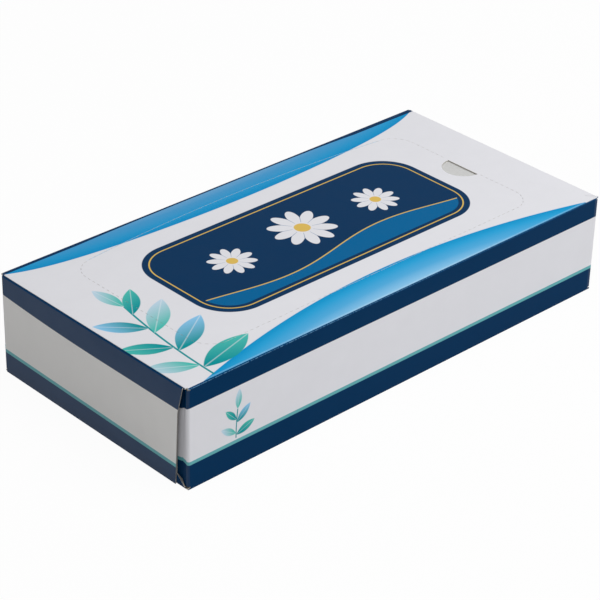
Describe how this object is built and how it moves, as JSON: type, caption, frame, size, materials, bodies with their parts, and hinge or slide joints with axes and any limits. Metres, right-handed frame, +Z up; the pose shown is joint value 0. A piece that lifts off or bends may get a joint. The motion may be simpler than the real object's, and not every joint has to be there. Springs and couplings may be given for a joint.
{
  "type": "tissue box",
  "caption": "Flat printed carton of facial tissues with glued end flaps, a perforated tear-out top panel, a half-moon finger notch and a slit film window over the folded stack",
  "frame": {"origin": "middle of the carton's base, on the surface that it stands on", "axes": "X along the carton towards the end with the finger notch, Y across it towards the back wall with the side seam, Z up"},
  "size_m": [0.234, 0.114, 0.046],
  "materials": {
    "printed_board": "white-lined folding boxboard, printed in blues and clear-varnished to a satin sheen",
    "clear_film": "thin clear film, slightly wrinkled",
    "dried_glue": "dried hot-melt, dull",
    "tissue_paper": "soft white two-ply creped tissue"
  },
  "bodies": {
    "root": {"carton": "printed_board", "window_film": "clear_film", "film_glue": "dried_glue", "tissue_stack": "tissue_paper", "side_seam_glue": "dried_glue", "left_end_glue": "dried_glue", "right_end_glue": "dried_glue"}
  },
  "joints": []
}
